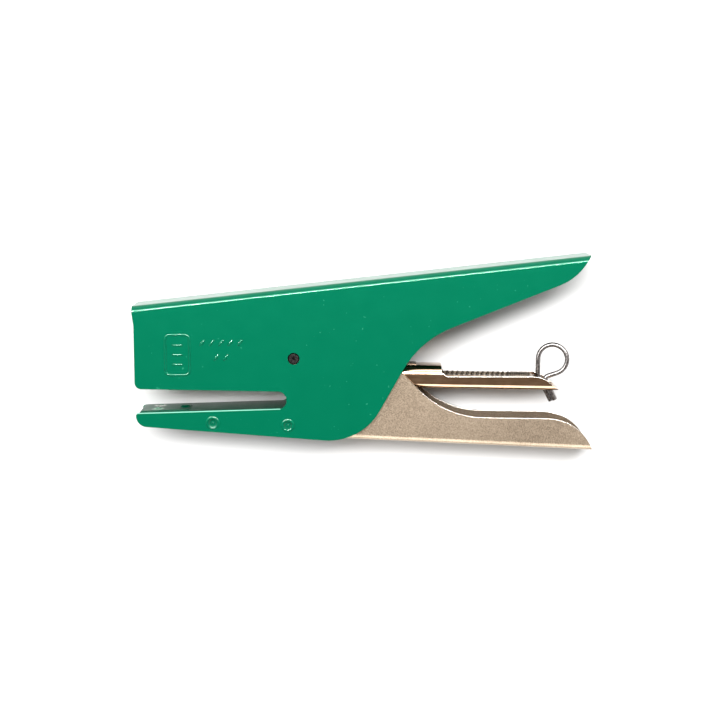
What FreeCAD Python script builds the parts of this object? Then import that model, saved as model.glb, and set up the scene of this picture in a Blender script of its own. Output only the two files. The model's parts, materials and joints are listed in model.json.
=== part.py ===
import FreeCAD, Part
import math
import os
import Sketcher

# Plier stapler, lying on its side. +X points from the jaw to the handle ends, +Y from the lower
# handle to the upper one, +Z up through the width. Z = 0 is the side it lies on. Millimetres.

Vector = FreeCAD.Vector
Rotation = FreeCAD.Rotation
Placement = FreeCAD.Placement
X_AXIS = Vector(1, 0, 0)
Y_AXIS = Vector(0, 1, 0)
Z_AXIS = Vector(0, 0, 1)

doc = FreeCAD.newDocument("plier_stapler")
sheet = doc.addObject("Spreadsheet::Sheet", "dims")

# ---------------------------------------------------------------------------------------------
# Driving dimensions
# ---------------------------------------------------------------------------------------------
DIMENSIONS = {
    # folded shell
    "shell_width": 18.5,
    "shell_sheet": 1.0,
    "shell_bend": 2.0,
    "top_angle": 6.3,
    "pivot_x": -24.02,
    "pivot_y": -1.51,
    "pivot_hole": 2.05,
    "dimple_mouth": 1.7,
    "dimple_floor": 0.95,
    "dimple_depth": 0.55,
    "dimple_front_x": -51.82,
    "dimple_front_y": -23.71,
    "dimple_rear_x": -26.12,
    "dimple_rear_y": -24.61,
    # anvil in the lower jaw
    "anvil_sheet": 0.9,
    "anvil_slope": 1.8,
    "plate_length": 16.5,
    "plate_thick": 0.25,
    "plate_width": 13.6,
    "plate_start_x": -76.62,
    "pocket_x": 5.6,
    "pocket_z": 3.3,
    "pocket_length": 4.6,
    "pocket_wide": 1.6,
    "pocket_deep": 0.18,
    "anvil_rivet_x": 14.6,
    "anvil_rivet_shank": 1.1,
    "anvil_rivet_head": 1.9,
    "anvil_rivet_dome": 0.5,
    # pivot pin and what it carries
    "pin_radius": 1.95,
    "pin_recess": 0.6,
    "pin_bevel": 0.3,
    "pin_centre": 0.55,
    "running_hole": 2.03,
    "washer_radius": 4.0,
    "washer_thick": 0.3,
    "washer_play": 0.02,
    "bush_radius": 3.0,
    # lower handle
    "lever_width": 15.8,
    "lever_sheet": 1.0,
    "lever_bend": 2.1,
    "web_front_x": -8.62,
    "stop_gap": 2.36,
    "stop_length": 7.0,
    "stop_start": 5.0,
    "stop_width": 14.4,
    # staple driver
    "driver_x": -72.92,
    "bridge_sheet": 1.2,
    "bridge_length": 8.3,
    "bridge_low": 4.39,
    "bridge_high": 10.89,
    "blade_thick": 0.6,
    "blade_width": 11.4,
    "blade_low": -4.61,
    "blade_high": 10.19,
    "blade_round": 1.0,
    "driver_rivet": 1.0,
    "driver_rivet_z": 3.2,
    "driver_rivet_rise": 2.4,
    "bridge_rivet_edge": 1.8,
    "rivet_head": 1.7,
    "rivet_dome": 0.6,
    "rivet_crown": 0.6,
    "side_rivet_x": -67.22,
    # return spring between shell and lower handle
    "spring_x": -0.62,
    "spring_length": 20.0,
    "spring_radius": 2.6,
    "spring_wire": 0.4,
    "spring_pitch": 2.6,
    "cup_radius": 3.7,
    "cup_base": 0.8,
    "cup_boss": 1.8,
    "cup_boss_height": 2.6,
    "cup_boss_round": 0.5,
    "spring_play": 0.05,
    "crosspiece_length": 9.0,
    "crosspiece_flange": 5.0,
    "crosspiece_rivet_run": 2.6,
    "crosspiece_rivet_drop": 3.1,
    # magazine, in a frame on the pivot axis with its floor level
    "magazine_tilt": -0.96,
    "magazine_width": 13.1,
    "magazine_sheet": 0.6,
    "magazine_floor": -9.9,
    "magazine_top": -2.2,
    "magazine_front": -51.2,
    "magazine_rear": 91.3,
    "arch_round": 3.4,
    "floor_round": 1.8,
    "ear_hole_cut": 4.4,
    "slot_rear": -47.6,
    "slot_edge": 0.1,
    "mouth_length": 5.2,
    "leg_hole_start": 85.3,
    "leg_hole_end": 90.0,
    "leg_hole_wide": 4.6,
    "rail_width": 10.2,
    "rail_sheet": 0.5,
    "rail_round": 0.8,
    "rail_height": 4.0,
    "rail_rear": 81.7,
    "rail_rivet": 1.0,
    "rail_rivet_front": -30.0,
    "rail_rivet_rear": 40.0,
    "rail_rivet_head": 1.6,
    "rail_rivet_dome": 0.35,
    "nose_height": 4.6,
    "end_plate_thick": 0.8,
    "end_plate_high": -5.6,
    # pusher, its rod and spring
    "rod_radius": 0.8,
    "rod_front": -44.0,
    "rod_height": -6.5,
    "rod_head": 1.2,
    "rod_head_thick": 0.5,
    "pusher_front": -46.9,
    "pusher_length": 8.9,
    "pusher_low": -8.6,
    "pusher_high": -4.6,
    "pusher_wing": 0.65,
    "pusher_width": 9.0,
    "pusher_wing_width": 11.1,
    "pusher_bore": 0.88,
    "pusher_round": 0.8,
    "coil_outer": 2.2,
    "coil_inner": 1.7,
    # leaf spring
    "leaf_width": 5.0,
    "leaf_rivet_x": 38.0,
    "leaf_sheet": 0.4,
    # ring clip
    "wire_radius": 0.85,
    "ring_x": 65.28,
    "ring_y": -2.81,
    "ring_radius": 4.98,
    "leg_spread": 0.9,
    "leg_angle": -62.4,
    "ring_end_angle": -72.0,
    "clip_drop": 5.8,
    "clip_drop_bend": 3.0,
    "clip_run_in": 4.95,
    "clip_run_in_bend": 1.4,
    "leg_front": 10.1,
    "leg_rear": 8.8,
}

# Outlines: corner name, x, y and the radius that rounds it (0 keeps it sharp).
OUTLINES = {
    "shell": [
        ("top_front", -78.87, 16.34, 0),
        ("front_flare", -78.87, 13.99, 5.0),
        ("front_face", -78.27, 9.69, 6.0),
        ("front_low", -78.27, -11.96, 2.2),
        ("throat_upper", -26.52, -12.86, 2.9),
        ("throat_lower", -26.52, -18.83, 2.9),
        ("jaw_top", -78.02, -20.43, 0.8),
        ("jaw_nose", -78.02, -24.81, 3.8),
        ("belly", -1.02, -30.74, 20.0),
        ("waist", 19.02, 4.77, 33.0),
        ("tail_bend", 71.64, 25.68, 18.5),
        ("tail_tip", 76.83, 33.59, 0),
    ],
    "anvil": [
        ("top_front", -77.42, -20.16, 1.0),
        ("front_low", -77.42, -23.81, 2.4),
        ("rear_low", -21.02, -27.81, 2.0),
        ("rear_top", -21.02, -18.39, 0.5),
    ],
    "lever": [
        ("arm_tip_top", -76.42, 13.19, 1.5),
        ("arm_step", -60.62, 14.94, 3.0),
        ("arm_neck", -50.62, 9.39, 6.0),
        ("shoulder", -2.82, 9.39, 8.0),
        ("palm_front", 28.08, -21.81, 31.0),
        ("palm_rear", 65.38, -22.43, 18.0),
        ("end_curl", 74.18, -25.41, 16.0),
        ("end_tip", 78.88, -33.59, 0),
        ("heel", -11.12, -29.35, 0),
        ("heel_upper", -17.62, -13.61, 6.0),
        ("arm_root", -34.62, -8.11, 8.0),
        ("arm_tip_low", -76.42, -2.61, 2.0),
    ],
    # what is cut away above the rear, open part of the magazine
    "trim": [
        ("arch_top", 50.7, 1.0, 0),
        ("arch_end", 50.7, -4.4, 0.5),
        ("wall_start", 52.6, -5.65, 1.2),
        ("wall_end", 85.2, -5.15, 9.0),
        ("floor_end", 91.3, -9.9, 0),
        ("past_end", 95.0, -9.9, 0),
        ("past_top", 95.0, 1.0, 0),
    ],
    "ear": [
        ("low_front", -4.2, -7.0, 0),
        ("low_rear", 4.2, -7.0, 0),
        ("top_rear", 3.4, 3.4, 3.2),
        ("top_front", -3.4, 3.4, 3.2),
    ],
    "leaf": [
        ("foot_end", 42.0, -2.2, 0),
        ("foot_bend", 33.2, -2.2, 3.0),
        ("tip_bend", 26.0, 3.2, 3.0),
        ("tip_low", 22.5, 3.3, 0),
        ("tip_top", 22.5, 3.7, 0),
        ("tip_bend_top", 26.2, 3.6, 3.4),
        ("foot_bend_top", 33.35, -1.8, 2.6),
        ("foot_end_top", 42.0, -1.8, 0),
    ],
}


def fill_sheet():
    """Write every dimension to the sheet as plain text, with its name as the cell's alias."""
    cells = dict(DIMENSIONS)
    for outline, corners in OUTLINES.items():
        for corner, x, y, radius in corners:
            cells[f"{outline}_{corner}_x"] = x
            cells[f"{outline}_{corner}_y"] = y
            if radius:
                cells[f"{outline}_{corner}_round"] = radius
    for row, (alias, value) in enumerate(cells.items(), start=1):
        sheet.set(f"A{row}", alias)
        sheet.set(f"B{row}", str(value))
        sheet.setAlias(f"B{row}", alias)
    doc.recompute()


def value(expression):
    """The number that an expression on the sheet gives."""
    return float(sheet.evalExpression(str(expression)))


# ---------------------------------------------------------------------------------------------
# Building blocks
# ---------------------------------------------------------------------------------------------
MIDDLE = "dims.shell_width / 2"
TOP_SLOPE = "tan(dims.top_angle)"


def make_body(label, base=("0", "0", MIDDLE), turn=0.0):
    """A body whose origin is bound to the sheet, turned about Z by a fixed angle."""
    body = doc.addObject("PartDesign::Body", label)
    body.Label = label
    body.Placement = Placement(Vector(*[value(part) for part in base]), Rotation(Z_AXIS, turn))
    for axis, part in zip("xyz", base):
        body.setExpression(f"Placement.Base.{axis}", part)
    return body


def magazine_body(label, height=MIDDLE):
    """A body in the magazine's own frame: origin on the pivot axis, X along the magazine floor."""
    return make_body(label, ("dims.pivot_x", "dims.pivot_y", height), value("dims.magazine_tilt"))


def plane(body, role):
    return next(item for item in body.Origin.OriginFeatures if item.Role == role)


def new_sketch(body, name, role, lift):
    sketch = body.newObject("Sketcher::SketchObject", f"{body.Name}_{name}")
    sketch.AttachmentSupport = [(plane(body, role), "")]
    sketch.MapMode = "FlatFace"
    if lift:
        sketch.setExpression("AttachmentOffset.Base.z", lift)
    return sketch


def bind(sketch, expression, *constraint):
    """Add a constraint whose size follows an expression on the sheet."""
    index = sketch.addConstraint(Sketcher.Constraint(*constraint, value(expression)))
    sketch.setExpression(f"Constraints[{index}]", expression)


def polygon_sketch(body, name, corners, role="XY_Plane", lift=None):
    """A closed outline; each corner is x, y and rounding radius, as expressions (radius or None)."""
    sketch = new_sketch(body, name, role, lift)
    points = [Vector(value(x), value(y), 0) for x, y, radius in corners]
    count = len(points)
    for index, point in enumerate(points):
        sketch.addGeometry(Part.LineSegment(point, points[(index + 1) % count]), False)
    for index in range(count):
        sketch.addConstraint(Sketcher.Constraint("Coincident", index, 2, (index + 1) % count, 1))
    for index, (x, y, radius) in enumerate(corners):
        for kind, place, axis in (("DistanceX", x, -2), ("DistanceY", y, -1)):
            if abs(value(place)) < 1e-9:
                sketch.addConstraint(Sketcher.Constraint("PointOnObject", index, 1, axis))
            else:
                bind(sketch, place, kind, -1, 1, index, 1)
    sketch.solve()
    for index, (x, y, radius) in enumerate(corners):
        if radius:
            before = (index - 1) % count
            toward = [(points[other] - points[index]).normalize() for other in (before, index - count + 1)]
            near = [points[index] + direction * 0.2 for direction in toward]
            sketch.fillet(before, index, near[0], near[1], value(radius), True, True)
            arc = max(i for i, item in enumerate(sketch.Geometry) if isinstance(item, Part.ArcOfCircle))
            bind(sketch, radius, "Radius", arc)
    return sketch


def outline_corners(outline):
    """The corners of a named outline, as expressions on its cells."""
    corners = []
    for corner, x, y, radius in OUTLINES[outline]:
        cell = f"dims.{outline}_{corner}"
        corners.append((f"{cell}_x", f"{cell}_y", f"{cell}_round" if radius else None))
    return corners


def rectangle_corners(left, right, low, high, rounds=(None, None, None, None)):
    """Corners of a rectangle, counter-clockwise from the lower left, with optional roundings."""
    places = ((left, low), (right, low), (right, high), (left, high))
    return [(x, y, radius) for (x, y), radius in zip(places, rounds)]


def circle_sketch(body, name, circles, role="XY_Plane", lift=None):
    """Circles given as x, y and radius expressions."""
    sketch = new_sketch(body, name, role, lift)
    for index, (x, y, radius) in enumerate(circles):
        centre = Vector(value(x), value(y), 0)
        sketch.addGeometry(Part.Circle(centre, Z_AXIS, value(radius)), False)
        for kind, place, axis in (("DistanceX", x, -2), ("DistanceY", y, -1)):
            if abs(value(place)) < 1e-9:
                sketch.addConstraint(Sketcher.Constraint("PointOnObject", index, 3, axis))
            else:
                bind(sketch, place, kind, -1, 1, index, 3)
        bind(sketch, radius, "Radius", index)
    return sketch


def extrude(body, kind, sketch, length, midplane=True, reverse=False):
    """A Pad or Pocket of a sketch, symmetric about its plane unless told otherwise."""
    feature = body.newObject(f"PartDesign::{kind}", f"{sketch.Name}_{kind.lower()}")
    feature.Profile = sketch
    feature.Midplane = midplane
    feature.Reversed = reverse
    feature.setExpression("Length", length)
    doc.recompute()
    return feature


def pad(body, sketch, length, midplane=True, reverse=False):
    return extrude(body, "Pad", sketch, length, midplane, reverse)


def pocket(body, sketch, length, midplane=True, reverse=False):
    before = body.Shape.Volume
    feature = extrude(body, "Pocket", sketch, length, midplane, reverse)
    if body.Shape.Volume > before - 1e-6:
        raise RuntimeError(f"{feature.Name} cuts nothing")
    return feature


def fillet_edges(body, feature, radius, chosen):
    """Round the edges of a feature that the test picks."""
    names = [f"Edge{n}" for n, edge in enumerate(feature.Shape.Edges, start=1) if chosen(edge)]
    rounding = body.newObject("PartDesign::Fillet", f"{body.Name}_round{len(body.Group)}")
    rounding.Base = (feature, names)
    rounding.setExpression("Radius", radius)
    doc.recompute()
    if not names or "Invalid" in rounding.State or not rounding.Shape.isValid():
        raise RuntimeError(f"{rounding.Name} did not round {names}")
    return rounding


def turned(body, name, corners):
    """A solid of revolution about the body's Z axis; corners are radius, height and rounding."""
    sketch = polygon_sketch(body, name, corners, "XZ_Plane")
    feature = body.newObject("PartDesign::Revolution", f"{sketch.Name}_turned")
    feature.Profile = sketch
    feature.ReferenceAxis = (sketch, ["V_Axis"])
    feature.Angle = 360
    doc.recompute()
    return feature


def box_corners(size_x, size_y):
    """Corners of a rectangle from the origin."""
    return rectangle_corners("0", size_x, "0", size_y)


def group(label, members):
    """One node of several separate solids."""
    node = doc.addObject("Part::Compound", label)
    node.Label = label
    node.Links = members
    return node


def along(direction):
    """The rotation that turns +Z to a direction."""
    return Rotation(Z_AXIS, direction)


# ---------------------------------------------------------------------------------------------
# Frame: shell, anvil, pin and what is fixed to them
# ---------------------------------------------------------------------------------------------
INNER_WIDTH = "(dims.shell_width - 2 * dims.shell_sheet)"


def web_underside(x):
    """Height of the underside of the shell's top web at x, as an expression."""
    return (f"(dims.shell_top_front_y + ({x} - dims.shell_top_front_x) * {TOP_SLOPE}"
            " - dims.shell_sheet / cos(dims.top_angle))")


def runs_along_top(edge, z):
    """True for a long edge parallel to the top web at height z from the middle."""
    if edge.Length < 100 or len(edge.Vertexes) != 2:
        return False
    start, end = (vertex.Point for vertex in edge.Vertexes)
    slope = abs((end.y - start.y) / (end.x - start.x))
    level = abs(abs(start.z) - z) < 0.01 and abs(start.z - end.z) < 0.01
    return level and abs(slope - value(TOP_SLOPE)) < 0.01


def build_shell():
    """One folded sheet: top web and two cheeks, which are head, lower jaw and upper handle."""
    body = make_body("shell")
    corners = outline_corners("shell")
    top_run = "(dims.shell_tail_tip_x - dims.shell_top_front_x)"
    corners[-1] = (corners[-1][0], f"dims.shell_top_front_y + {top_run} * {TOP_SLOPE}", None)
    solid = pad(body, polygon_sketch(body, "outline", corners), "dims.shell_width")
    half = value("dims.shell_width / 2")
    fillet_edges(body, solid, "dims.shell_bend", lambda edge: runs_along_top(edge, half))
    hollow = [("-100", web_underside("-100"), None), ("-100", "-60", None),
              ("100", "-60", None), ("100", web_underside("100"), None)]
    pocket(body, polygon_sketch(body, "hollow", hollow), INNER_WIDTH)
    inner_half = value(INNER_WIDTH) / 2
    fillet_edges(body, body.Tip, "dims.shell_bend - dims.shell_sheet",
                 lambda edge: runs_along_top(edge, inner_half))
    hole = circle_sketch(body, "pivot", [("dims.pivot_x", "dims.pivot_y", "dims.pivot_hole")])
    pocket(body, hole, "dims.shell_width + 2")
    for place in ("front", "rear"):
        for side in (1, -1):
            add_dimple(body, place, side)
    return body


def add_dimple(body, place, side):
    """A punched dimple in the outer face of one cheek."""
    cheek = "near" if side > 0 else "far"
    dimple = body.newObject("PartDesign::SubtractiveCone", f"dimple_{place}_{cheek}")
    wide, narrow = ("Radius2", "Radius1") if side > 0 else ("Radius1", "Radius2")
    dimple.setExpression(wide, "dims.dimple_mouth")
    dimple.setExpression(narrow, "dims.dimple_floor")
    dimple.setExpression("Height", "dims.dimple_depth")
    depth = "dims.shell_width / 2 - dims.dimple_depth" if side > 0 else "-dims.shell_width / 2"
    dimple.setExpression("Placement.Base.x", f"dims.dimple_{place}_x")
    dimple.setExpression("Placement.Base.y", f"dims.dimple_{place}_y")
    dimple.setExpression("Placement.Base.z", depth)
    doc.recompute()


PLATE_SETBACK = "(dims.plate_start_x - dims.anvil_top_front_x)"
PLATE_HEIGHT = f"dims.anvil_top_front_y + {PLATE_SETBACK} * tan(dims.anvil_slope)"


def build_anvil_bar():
    """Inverted channel between the cheeks of the jaw; its web stands a little proud of them."""
    body = make_body("anvil_bar")
    pad(body, polygon_sketch(body, "outline", outline_corners("anvil")), INNER_WIDTH)
    under = "dims.anvil_top_front_y - dims.anvil_sheet"
    rise = "(dims.anvil_rear_top_x + 100) * tan(dims.anvil_slope)"
    drop = "(dims.anvil_top_front_x + 100) * tan(dims.anvil_slope)"
    hollow = [("-100", f"{under} - {drop}", None), ("-100", "-60", None),
              ("dims.anvil_rear_top_x + 5", "-60", None),
              ("dims.anvil_rear_top_x + 5", f"{under} - {drop} + {rise} + 5 * tan(dims.anvil_slope)", None)]
    pocket(body, polygon_sketch(body, "hollow", hollow), f"{INNER_WIDTH} - 2 * dims.anvil_sheet")
    return anvil_rivet_hole(body)


def anvil_rivet_hole(body):
    """Hole for the rivet, square to the web."""
    hole = body.newObject("PartDesign::SubtractiveCylinder", "anvil_rivet_hole")
    hole.setExpression("Radius", "dims.anvil_rivet_shank")
    hole.Height = 4
    angle = value("dims.anvil_slope")
    foot = plate_point(value("dims.anvil_rivet_x"), -2.0)
    hole.Placement = Placement(foot, Rotation(Z_AXIS, angle) * Rotation(X_AXIS, -90))
    doc.recompute()
    return body


def plate_point(run, lift):
    """A point in the anvil plate's frame, at mid width: run along the plate, lift above the web."""
    angle = math.radians(value("dims.anvil_slope"))
    start = Vector(value("dims.plate_start_x"), value(PLATE_HEIGHT), 0)
    along_plate = Vector(math.cos(angle), math.sin(angle), 0)
    return start + along_plate * run + Z_AXIS.cross(along_plate) * lift


def build_anvil_plate():
    """Hardened plate riveted on the anvil, with the two pockets that curl the staple legs."""
    body = make_body("anvil_plate", ("dims.plate_start_x", PLATE_HEIGHT, MIDDLE), value("dims.anvil_slope"))
    pad(body, polygon_sketch(body, "outline", box_corners("dims.plate_length", "dims.plate_thick")),
        "dims.plate_width")
    for side in (1, -1):
        left = f"{side} * dims.pocket_z - dims.pocket_length / 2"
        right = f"{side} * dims.pocket_z + dims.pocket_length / 2"
        floor = "dims.plate_thick - dims.pocket_deep"
        section = rectangle_corners(floor, "2 * dims.plate_thick", left, right)
        sketch = polygon_sketch(body, f"pocket{side + 2}", section, "YZ_Plane", "dims.pocket_x")
        pocket(body, sketch, "dims.pocket_wide")
    hole = body.newObject("PartDesign::SubtractiveCylinder", "plate_rivet_hole")
    hole.setExpression("Radius", "dims.anvil_rivet_shank")
    hole.Height = 4
    hole.Placement = Placement(Vector(value("dims.anvil_rivet_x"), -2, 0), Rotation(X_AXIS, -90))
    doc.recompute()
    return body


def place(body, point, turn):
    """Put a body's origin at a point measured from the mid plane, and turn it."""
    for axis in "xyz":
        body.setExpression(f"Placement.Base.{axis}", None)
    body.Placement = Placement(point + Vector(0, 0, value(MIDDLE)), turn)
    doc.recompute()
    return body


def place_on_axis(body, point, direction):
    """Put a turned body's origin at a point, with its Z axis along a direction."""
    return place(body, point, along(direction))


def build_anvil_rivet():
    """Domed rivet through the plate and the anvil's web."""
    body = make_body("anvil_rivet")
    profile = rivet_corners("dims.anvil_rivet_shank", "dims.anvil_rivet_head", "dims.anvil_rivet_dome",
                            "-dims.anvil_sheet", "dims.plate_thick")
    turned(body, "profile", profile)
    angle = value("dims.anvil_slope")
    up = Rotation(Z_AXIS, angle).multVec(Y_AXIS)
    return place_on_axis(body, plate_point(value("dims.anvil_rivet_x"), 0), up)


def rivet_corners(shank, head, dome, low, high):
    """Profile of a rivet with a bevelled head at both ends of its grip."""
    crown = f"{head} * dims.rivet_crown"
    return [("0", f"{low} - {dome}", None), (crown, f"{low} - {dome}", None), (head, low, None),
            (shank, low, None), (shank, high, None), (head, high, None),
            (crown, f"{high} + {dome}", None), ("0", f"{high} + {dome}", None)]


def flush_rivet_corners(shank, head, dome, low, high):
    """Profile of a rivet that is flush at its low end and headed at its high end."""
    return [("0", low, None), (shank, low, None), (shank, high, None), (head, high, None),
            (f"{head} * dims.rivet_crown", f"{high} + {dome}", None), ("0", f"{high} + {dome}", None)]


def build_pivot_pin():
    """Pin that everything turns on, set back a little in the cheeks."""
    body = make_body("pivot_pin", ("dims.pivot_x", "dims.pivot_y", MIDDLE))
    end = "(dims.shell_width / 2 - dims.pin_recess)"
    centre = "dims.pin_centre"
    profile = [("0", f"-{end} + {centre}", None), (centre, f"-{end}", None),
               ("dims.pin_radius - dims.pin_bevel", f"-{end}", None),
               ("dims.pin_radius", f"-{end} + dims.pin_bevel", None),
               ("dims.pin_radius", f"{end} - dims.pin_bevel", None),
               ("dims.pin_radius - dims.pin_bevel", end, None), (centre, end, None),
               ("0", f"{end} - {centre}", None)]
    turned(body, "profile", profile)
    return body


def ring_corners(inner, outer, low, high):
    return [(inner, low, None), (outer, low, None), (outer, high, None), (inner, high, None)]


def build_pivot_washers():
    """Thin washers between the lower handle and the cheeks."""
    inside = "(dims.lever_width / 2 + dims.washer_play)"
    outside = f"({inside} + dims.washer_thick)"
    washers = []
    for name, low, high in (("near", inside, outside), ("far", f"-{outside}", f"-{inside}")):
        washer = make_body(f"washer_{name}", ("dims.pivot_x", "dims.pivot_y", MIDDLE))
        turned(washer, "profile", ring_corners("dims.running_hole", "dims.washer_radius", low, high))
        washers.append(washer)
    return group("pivot_washers", washers)


def spring_frame(distance):
    """A point on the return spring's axis, which stands square to the web, at a distance below it."""
    angle = math.radians(value("dims.top_angle"))
    start = Vector(value("dims.spring_x"), value(web_underside("dims.spring_x")), 0)
    down = Vector(math.sin(angle), -math.cos(angle), 0)
    return start + down * distance, down


def build_spring_cup():
    """Seat of the return spring, welded under the shell's web."""
    body = make_body("spring_cup")
    profile = [("0", "0", None), ("dims.cup_radius", "0", None), ("dims.cup_radius", "dims.cup_base", None),
               ("dims.cup_boss", "dims.cup_base", None),
               ("dims.cup_boss", "dims.cup_boss_height", "dims.cup_boss_round"),
               ("0", "dims.cup_boss_height", None)]
    turned(body, "profile", profile)
    point, down = spring_frame(0)
    return place_on_axis(body, point, down)


def build_return_spring():
    """Coil spring that opens the handles, between the cup and the lower handle's crosspiece."""
    helix = doc.addObject("Part::Helix", "return_spring_path")
    helix.setExpression("Pitch", "dims.spring_pitch")
    helix.setExpression("Radius", "dims.spring_radius")
    seat = "dims.cup_base + dims.spring_wire + dims.spring_play"
    helix.setExpression("Height", f"dims.spring_length - ({seat}) - dims.spring_wire - dims.spring_play")
    wire = doc.addObject("Part::Circle", "return_spring_wire")
    wire.setExpression("Radius", "dims.spring_wire")
    point, down = spring_frame(value(seat))
    helix.Placement = Placement(point + Vector(0, 0, value(MIDDLE)), along(down))
    wire.Placement = helix.Placement * Placement(X_AXIS * value("dims.spring_radius"), Rotation(X_AXIS, 90))
    doc.recompute()
    spring = doc.addObject("Part::Sweep", "return_spring")
    spring.Label = "return_spring"
    spring.Sections = [wire]
    spring.Spine = (helix, [])
    spring.Solid = True
    spring.Frenet = True
    doc.recompute()
    return spring


def top_frame_body(label, x, distance):
    """A body whose X runs along the shell's web; its origin lies at x, a distance below the web."""
    turn = Rotation(Z_AXIS, value("dims.top_angle"))
    point = Vector(x, value(web_underside(str(x))), 0) - turn.multVec(Y_AXIS) * distance
    return place(make_body(label), point, turn)


def build_rest_stop():
    """Pad under the web that the lower handle's arms rest against when the stapler is open."""
    start = value("dims.lever_arm_tip_top_x + dims.stop_start")
    body = top_frame_body("rest_stop", start, value("dims.stop_gap"))
    outline = polygon_sketch(body, "outline", box_corners("dims.stop_length", "dims.stop_gap"))
    pad(body, outline, "dims.stop_width")
    return body


# ---------------------------------------------------------------------------------------------
# Lower handle and staple driver
# ---------------------------------------------------------------------------------------------
LEVER_INNER = "(dims.lever_width - 2 * dims.lever_sheet)"


def lever_bottom(x, lift):
    """Height at x of the lower handle's bottom line, raised by a distance."""
    slope = ("(dims.lever_heel_y - dims.lever_end_tip_y) / (dims.lever_heel_x - dims.lever_end_tip_x)")
    return f"dims.lever_end_tip_y + ({x} - dims.lever_end_tip_x) * {slope} + {lift}"


def build_lever():
    """Channel open towards the upper handle; its walls run forward as arms beside the magazine."""
    body = make_body("lever_handle")
    solid = pad(body, polygon_sketch(body, "outline", outline_corners("lever")), "dims.lever_width")
    half = value("dims.lever_width / 2")
    low = value("dims.lever_heel_y") + 1.0

    def is_bottom_edge(edge):
        ends = [vertex.Point for vertex in edge.Vertexes]
        return (len(ends) == 2 and edge.Length > 60 and max(end.y for end in ends) < low
                and all(abs(abs(end.z) - half) < 0.01 for end in ends))

    fillet_edges(body, solid, "dims.lever_bend", is_bottom_edge)
    hollow = [("-100", "60", None), ("-100", "-60", None), ("dims.web_front_x", "-60", None),
              ("dims.web_front_x", lever_bottom("dims.web_front_x", "dims.lever_sheet"), None),
              ("100", lever_bottom("100", "dims.lever_sheet"), None), ("100", "60", None)]
    pocket(body, polygon_sketch(body, "hollow", hollow), LEVER_INNER)
    holes = [("dims.pivot_x", "dims.pivot_y", "dims.running_hole")]
    holes += [("dims.side_rivet_x", y, "dims.driver_rivet") for y in side_rivet_heights()]
    holes += [(str(place.x), str(place.y), "dims.driver_rivet") for place in crosspiece_rivet_places()]
    pocket(body, circle_sketch(body, "holes", holes), "dims.lever_width + 2")
    return body


def crosspiece_rivet_places():
    """Where the crosspiece's rivets cross the mid plane, from its own tilted frame."""
    start = spring_frame(value("dims.spring_length"))[0]
    turn = Rotation(Z_AXIS, value("dims.top_angle"))
    run = value("dims.crosspiece_rivet_run")
    drop = value("dims.crosspiece_rivet_drop")
    return [start + turn.multVec(Vector(side * run, -drop, 0)) for side in (-1, 1)]


def side_rivet_heights():
    """Heights of the rivets that hold the driver's bridge between the arms."""
    return ("dims.bridge_low + dims.bridge_rivet_edge", "dims.bridge_high - dims.bridge_rivet_edge")


DRIVER_RIVET_Y = "(dims.bridge_low + dims.driver_rivet_rise)"


def driver_rivet_holes():
    """Circles of the two driver rivets, in a sketch across the stapler."""
    return [(DRIVER_RIVET_Y, f"{side} * dims.driver_rivet_z", "dims.driver_rivet") for side in (1, -1)]


def build_driver_bridge():
    """Bracket between the arms: a web across the front and a flange along each arm."""
    body = make_body("driver_bridge", ("dims.driver_x", "0", MIDDLE))
    outer = rectangle_corners("0", "dims.bridge_length", "dims.bridge_low", "dims.bridge_high")
    pad(body, polygon_sketch(body, "outline", outer), LEVER_INNER)
    inner = rectangle_corners("dims.bridge_sheet", "dims.bridge_length + 5", "dims.bridge_low - 5",
                              "dims.bridge_high + 5")
    pocket(body, polygon_sketch(body, "hollow", inner), f"{LEVER_INNER} - 2 * dims.bridge_sheet")
    sides = [("dims.side_rivet_x - dims.driver_x", y, "dims.driver_rivet") for y in side_rivet_heights()]
    pocket(body, circle_sketch(body, "side_holes", sides), "dims.lever_width + 2")
    holes = circle_sketch(body, "front_holes", driver_rivet_holes(), "YZ_Plane")
    pocket(body, holes, "4 * dims.bridge_sheet")
    return body


def build_driver_blade():
    """Flat blade that pushes one staple down through the front of the magazine."""
    body = make_body("driver_blade", ("dims.driver_x", "0", MIDDLE))
    section = tunnel_corners("dims.blade_width", "dims.blade_low", "dims.blade_high", None,
                             "dims.blade_round")
    sketch = polygon_sketch(body, "outline", section, "YZ_Plane")
    pad(body, sketch, "dims.blade_thick", midplane=False, reverse=True)
    holes = circle_sketch(body, "holes", driver_rivet_holes(), "YZ_Plane")
    pocket(body, holes, "4 * dims.blade_thick")
    return body


def build_driver_rivets():
    """Two rivets that hold the blade on the bridge."""
    rivets = []
    for side, name in ((1, "near"), (-1, "far")):
        rivet = make_body(f"driver_rivet_{name}")
        turned(rivet, "profile", rivet_corners("dims.driver_rivet", "dims.rivet_head", "dims.rivet_dome",
                                               "-dims.blade_thick", "dims.bridge_sheet"))
        point = Vector(value("dims.driver_x"), value(DRIVER_RIVET_Y), side * value("dims.driver_rivet_z"))
        rivets.append(place_on_axis(rivet, point, X_AXIS))
    return group("driver_rivets", rivets)


def build_bridge_rivets():
    """Four rivets through the arms into the bridge, flush outside because the cheeks are close."""
    places = [Vector(value("dims.side_rivet_x"), value(y), 0) for y in side_rivet_heights()]
    return wall_rivets("bridge_rivet", places)


def build_crosspiece_rivets():
    """Four rivets through the walls into the crosspiece, flush outside as well."""
    return wall_rivets("crosspiece_rivet", crosspiece_rivet_places())


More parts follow.
